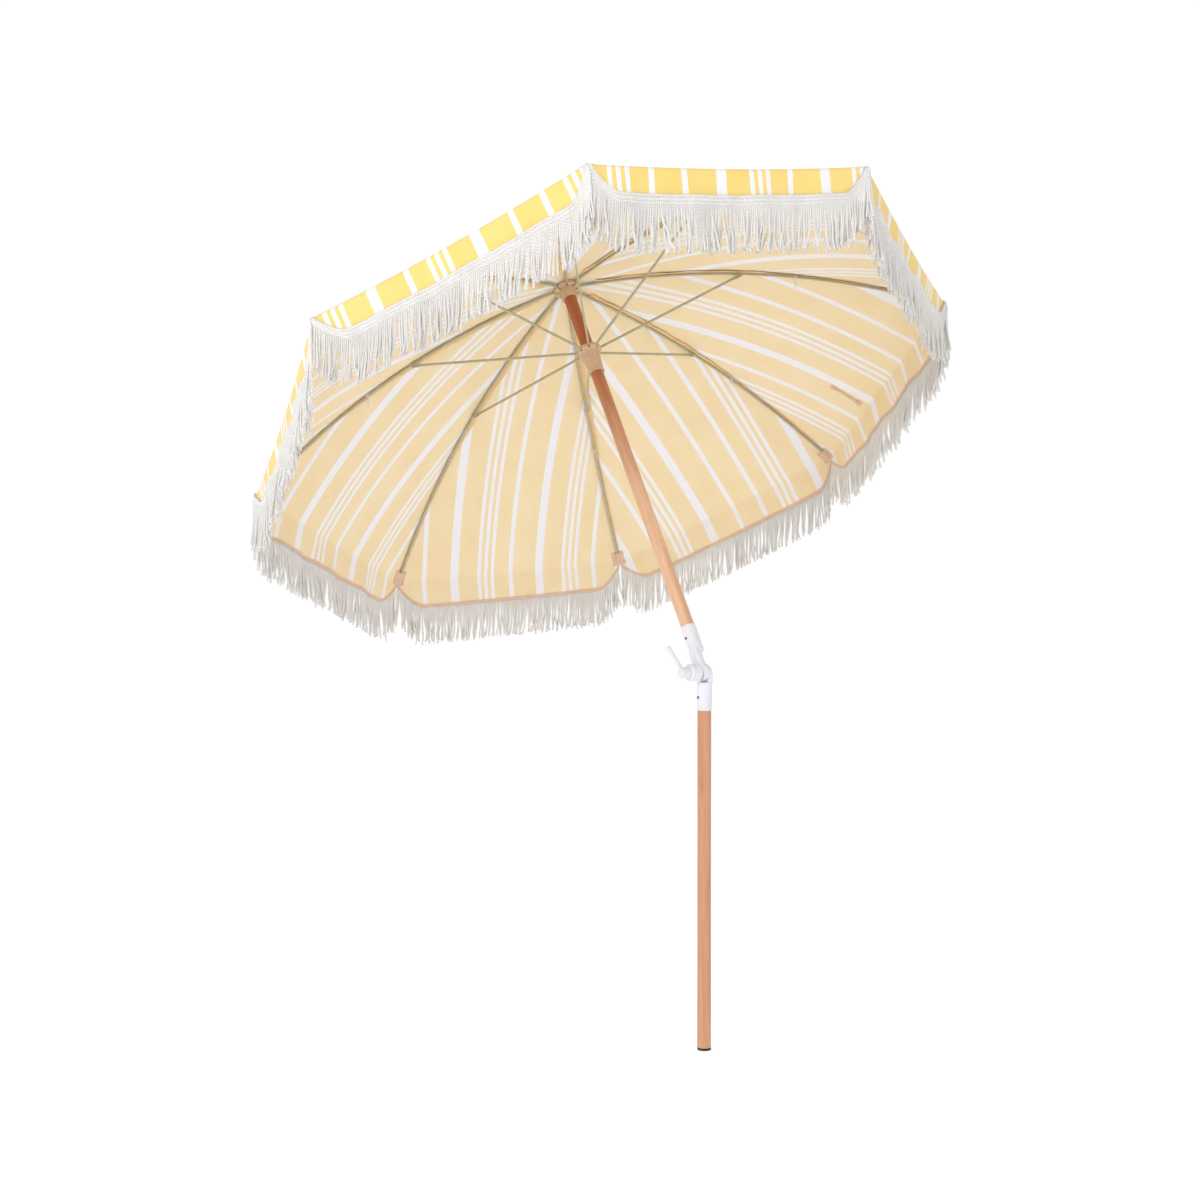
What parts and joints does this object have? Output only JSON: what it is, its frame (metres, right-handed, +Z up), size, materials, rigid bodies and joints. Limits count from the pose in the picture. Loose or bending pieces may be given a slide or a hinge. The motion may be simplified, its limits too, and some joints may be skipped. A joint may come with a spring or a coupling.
{
  "type": "beach umbrella",
  "caption": "Tilting wooden-pole beach umbrella with a striped, fringed canopy on bowed ribs and struts, a sliding runner and a lever-clamped tilt joint",
  "frame": {"origin": "middle of the lower pole's foot, on the ground", "axes": "+Z up along the lower pole; the canopy leans towards +Y; the tilt hinge lies along X with its clamp lever on the -X side"},
  "size_m": [1.737, 1.4769, 1.9921],
  "materials": {
    "pole_wood": "satin varnish",
    "hub_wood": "satin",
    "white_coat": "gloss powder coat",
    "bright_steel": "bright",
    "rib_paint": "satin grey-olive coat",
    "canopy_cotton": "woven cotton, yellow with white stripes",
    "fringe_cotton": "twisted cotton cords under a striped flap",
    "foot_rubber": "matte"
  },
  "bodies": {
    "lower_pole": {"lower_pole": "pole_wood", "foot_cap": "foot_rubber", "lower_tilt_sleeve": "white_coat", "lower_sleeve_screws": "bright_steel", "tilt_pivot_bolt": "white_coat", "tilt_clamp_drum": "white_coat"},
    "upper_pole": {"upper_pole": "pole_wood", "upper_tilt_sleeve": "white_coat", "upper_sleeve_screws": "bright_steel", "top_hub": "hub_wood", "hub_wire_ring": "bright_steel", "canopy_crown_patch": "canopy_cotton", "top_cap": "hub_wood"},
    "tilt_lever": {"tilt_lever": "white_coat"},
    "runner": {"runner": "hub_wood", "runner_wire_ring": "bright_steel"},
    "runner_button": {"runner_button": "bright_steel"},
    "rib_1": {"rib_1": "rib_paint", "strut_rivet_1": "bright_steel", "canopy_panel_1": "canopy_cotton"},
    "strut_1": {"strut_1": "rib_paint"},
    "valance_1": {"valance_1": "fringe_cotton"},
    "rib_2": {"rib_2": "rib_paint", "strut_rivet_2": "bright_steel", "canopy_panel_2": "canopy_cotton"},
    "strut_2": {"strut_2": "rib_paint"},
    "valance_2": {"valance_2": "fringe_cotton"},
    "rib_3": {"rib_3": "rib_paint", "strut_rivet_3": "bright_steel", "canopy_panel_3": "canopy_cotton"},
    "strut_3": {"strut_3": "rib_paint"},
    "valance_3": {"valance_3": "fringe_cotton"},
    "rib_4": {"rib_4": "rib_paint", "strut_rivet_4": "bright_steel", "canopy_panel_4": "canopy_cotton"},
    "strut_4": {"strut_4": "rib_paint"},
    "valance_4": {"valance_4": "fringe_cotton"},
    "rib_5": {"rib_5": "rib_paint", "strut_rivet_5": "bright_steel", "canopy_panel_5": "canopy_cotton"},
    "strut_5": {"strut_5": "rib_paint"},
    "valance_5": {"valance_5": "fringe_cotton"},
    "rib_6": {"rib_6": "rib_paint", "strut_rivet_6": "bright_steel", "canopy_panel_6": "canopy_cotton"},
    "strut_6": {"strut_6": "rib_paint"},
    "valance_6": {"valance_6": "fringe_cotton"},
    "rib_7": {"rib_7": "rib_paint", "strut_rivet_7": "bright_steel", "canopy_panel_7": "canopy_cotton"},
    "strut_7": {"strut_7": "rib_paint"},
    "valance_7": {"valance_7": "fringe_cotton"},
    "rib_8": {"rib_8": "rib_paint", "strut_rivet_8": "bright_steel", "canopy_panel_8": "canopy_cotton"},
    "strut_8": {"strut_8": "rib_paint"},
    "valance_8": {"valance_8": "fringe_cotton"}
  },
  "joints": [
    {"name": "tilt_hinge", "type": "hinge", "parent": "lower_pole", "child": "upper_pole", "pos_m": [0, 0, 0.865], "axis": [-1, 0, 0], "range_deg": [-31.8, 13.2]},
    {"name": "clamp_lever_turn", "type": "hinge", "parent": "lower_pole", "child": "tilt_lever", "pos_m": [-0.057, 0, 0.865], "axis": [-1, 0, 0], "range_deg": [0, 150]},
    {"name": "canopy_fold", "type": "hinge", "parent": "upper_pole", "child": "rib_1", "pos_m": [0.02629, 0.59543, 1.81363], "axis": [-0.2284, 0.8274, -0.513], "range_deg": [0, 64], "deforming": ["canopy_panel_1"]},
    {"name": "rib_2_hinge", "type": "hinge", "parent": "upper_pole", "child": "rib_2", "pos_m": [0.01423, 0.60969, 1.80479], "axis": [-0.8499, 0.4479, -0.2777], "range_deg": [-0.1, 64.1], "deforming": ["canopy_panel_2"]},
    {"name": "rib_3_hinge", "type": "hinge", "parent": "upper_pole", "child": "rib_3", "pos_m": [-0.00617, 0.61253, 1.80303], "axis": [-0.9736, -0.1941, 0.1203], "range_deg": [-0.1, 64.1], "deforming": ["canopy_panel_3"]},
    {"name": "rib_4_hinge", "type": "hinge", "parent": "upper_pole", "child": "rib_4", "pos_m": [-0.02295, 0.60228, 1.80938], "axis": [-0.527, -0.7223, 0.4479], "range_deg": [-0.1, 64.1], "deforming": ["canopy_panel_4"]},
    {"name": "rib_5_hinge", "type": "hinge", "parent": "upper_pole", "child": "rib_5", "pos_m": [-0.02629, 0.58495, 1.82013], "axis": [0.2284, -0.8274, 0.513], "range_deg": [-0.1, 64.1], "deforming": ["canopy_panel_5"]},
    {"name": "rib_6_hinge", "type": "hinge", "parent": "upper_pole", "child": "rib_6", "pos_m": [-0.01423, 0.57069, 1.82897], "axis": [0.8499, -0.4479, 0.2777], "range_deg": [-0.1, 64.1], "deforming": ["canopy_panel_6"]},
    {"name": "rib_7_hinge", "type": "hinge", "parent": "upper_pole", "child": "rib_7", "pos_m": [0.00617, 0.56785, 1.83073], "axis": [0.9736, 0.1941, -0.1203], "range_deg": [-0.1, 64.1], "deforming": ["canopy_panel_7"]},
    {"name": "rib_8_hinge", "type": "hinge", "parent": "upper_pole", "child": "rib_8", "pos_m": [0.02295, 0.5781, 1.82438], "axis": [0.527, 0.7223, -0.4479], "range_deg": [-0.1, 64.1], "deforming": ["canopy_panel_8"]},
    {"name": "strut_1_hinge", "type": "hinge", "parent": "rib_1", "child": "strut_1", "pos_m": [0.42643, 0.62315, 1.68024], "axis": [-0.2284, 0.8274, -0.513], "range_deg": [-128.2, 0.2]},
    {"name": "strut_2_hinge", "type": "hinge", "parent": "rib_2", "child": "strut_2", "pos_m": [0.23081, 0.85452, 1.53678], "axis": [-0.8499, 0.4479, -0.2777], "range_deg": [-128.2, 0.2]},
    {"name": "strut_3_hinge", "type": "hinge", "parent": "rib_3", "child": "strut_3", "pos_m": [-0.10002, 0.90056, 1.50823], "axis": [-0.9736, -0.1941, 0.1203], "range_deg": [-128.2, 0.2]},
    {"name": "strut_4_hinge", "type": "hinge", "parent": "rib_4", "child": "strut_4", "pos_m": [-0.37225, 0.73431, 1.61132], "axis": [-0.527, -0.7223, 0.4479], "range_deg": [-128.2, 0.2]},
    {"name": "strut_5_hinge", "type": "hinge", "parent": "rib_5", "child": "strut_5", "pos_m": [-0.42643, 0.45314, 1.78565], "axis": [0.2284, -0.8274, 0.513], "range_deg": [-128.2, 0.2]},
    {"name": "strut_6_hinge", "type": "hinge", "parent": "rib_6", "child": "strut_6", "pos_m": [-0.23081, 0.22177, 1.9291], "axis": [0.8499, -0.4479, 0.2777], "range_deg": [-128.2, 0.2]},
    {"name": "strut_7_hinge", "type": "hinge", "parent": "rib_7", "child": "strut_7", "pos_m": [0.10002, 0.17573, 1.95765], "axis": [0.9736, 0.1941, -0.1203], "range_deg": [-128.2, 0.2]},
    {"name": "strut_8_hinge", "type": "hinge", "parent": "rib_8", "child": "strut_8", "pos_m": [0.37225, 0.34198, 1.85457], "axis": [0.527, 0.7223, -0.4479], "range_deg": [-128.2, 0.2]},
    {"name": "runner_hinge", "type": "hinge", "parent": "strut_1", "child": "runner", "pos_m": [0.02629, 0.49134, 1.64575], "axis": [-0.2284, 0.8274, -0.513], "range_deg": [-0.1, 64.1]},
    {"name": "valance_1_hinge", "type": "hinge", "parent": "rib_1", "child": "valance_1", "pos_m": [0.8587, 0.57956, 1.41753], "axis": [-0.2284, 0.8274, -0.513], "range_deg": [-64.2, 0.2], "deforming": ["valance_1"]},
    {"name": "valance_2_hinge", "type": "hinge", "parent": "rib_2", "child": "valance_2", "pos_m": [0.46477, 1.04547, 1.12866], "axis": [-0.8499, 0.4479, -0.2777], "range_deg": [-64.2, 0.2], "deforming": ["valance_2"]},
    {"name": "valance_3_hinge", "type": "hinge", "parent": "rib_3", "child": "valance_3", "pos_m": [-0.20141, 1.13819, 1.07117], "axis": [-0.9736, -0.1941, 0.1203], "range_deg": [-64.2, 0.2], "deforming": ["valance_3"]},
    {"name": "valance_4_hinge", "type": "hinge", "parent": "rib_4", "child": "valance_4", "pos_m": [-0.7496, 0.8034, 1.27875], "axis": [-0.527, -0.7223, 0.4479], "range_deg": [-64.2, 0.2], "deforming": ["valance_4"]},
    {"name": "valance_5_hinge", "type": "hinge", "parent": "rib_5", "child": "valance_5", "pos_m": [-0.8587, 0.23722, 1.6298], "axis": [0.2284, -0.8274, 0.513], "range_deg": [-71.46, 0.2], "deforming": ["valance_5"]},
    {"name": "valance_6_hinge", "type": "hinge", "parent": "rib_6", "child": "valance_6", "pos_m": [-0.46477, -0.22869, 1.91868], "axis": [0.8499, -0.4479, 0.2777], "range_deg": [-91.23, 0.2], "deforming": ["valance_6"]},
    {"name": "valance_7_hinge", "type": "hinge", "parent": "rib_7", "child": "valance_7", "pos_m": [0.20141, -0.32141, 1.97616], "axis": [0.9736, 0.1941, -0.1203], "range_deg": [-95.16, 0.2], "deforming": ["valance_7"]},
    {"name": "valance_8_hinge", "type": "hinge", "parent": "rib_8", "child": "valance_8", "pos_m": [0.7496, 0.01338, 1.76858], "axis": [0.527, 0.7223, -0.4479], "range_deg": [-80.96, 0.2], "deforming": ["valance_8"]},
    {"name": "button_press", "type": "slide", "parent": "runner", "child": "runner_button", "axis": [1, 0, 0], "range_m": [0, 0.0025], "stiffness_N_per_m": 300}
  ],
  "couplings": [
    {"joint": "rib_2_hinge", "follows": "canopy_fold", "ratio": 1},
    {"joint": "rib_3_hinge", "follows": "canopy_fold", "ratio": 1},
    {"joint": "rib_4_hinge", "follows": "canopy_fold", "ratio": 1},
    {"joint": "rib_5_hinge", "follows": "canopy_fold", "ratio": 1},
    {"joint": "rib_6_hinge", "follows": "canopy_fold", "ratio": 1},
    {"joint": "rib_7_hinge", "follows": "canopy_fold", "ratio": 1},
    {"joint": "rib_8_hinge", "follows": "canopy_fold", "ratio": 1},
    {"joint": "strut_1_hinge", "follows": "canopy_fold", "ratio": -2},
    {"joint": "strut_2_hinge", "follows": "canopy_fold", "ratio": -2},
    {"joint": "strut_3_hinge", "follows": "canopy_fold", "ratio": -2},
    {"joint": "strut_4_hinge", "follows": "canopy_fold", "ratio": -2},
    {"joint": "strut_5_hinge", "follows": "canopy_fold", "ratio": -2},
    {"joint": "strut_6_hinge", "follows": "canopy_fold", "ratio": -2},
    {"joint": "strut_7_hinge", "follows": "canopy_fold", "ratio": -2},
    {"joint": "strut_8_hinge", "follows": "canopy_fold", "ratio": -2},
    {"joint": "runner_hinge", "follows": "canopy_fold", "ratio": 1},
    {"joint": "valance_1_hinge", "follows": "canopy_fold", "ratio": -1},
    {"joint": "valance_2_hinge", "follows": "canopy_fold", "ratio": -1},
    {"joint": "valance_3_hinge", "follows": "canopy_fold", "ratio": -1},
    {"joint": "valance_4_hinge", "follows": "canopy_fold", "ratio": -1},
    {"joint": "valance_5_hinge", "follows": "canopy_fold", "ratio": -1.1135},
    {"joint": "valance_6_hinge", "follows": "canopy_fold", "ratio": -1.4223},
    {"joint": "valance_7_hinge", "follows": "canopy_fold", "ratio": -1.4837},
    {"joint": "valance_8_hinge", "follows": "canopy_fold", "ratio": -1.2618}
  ]
}
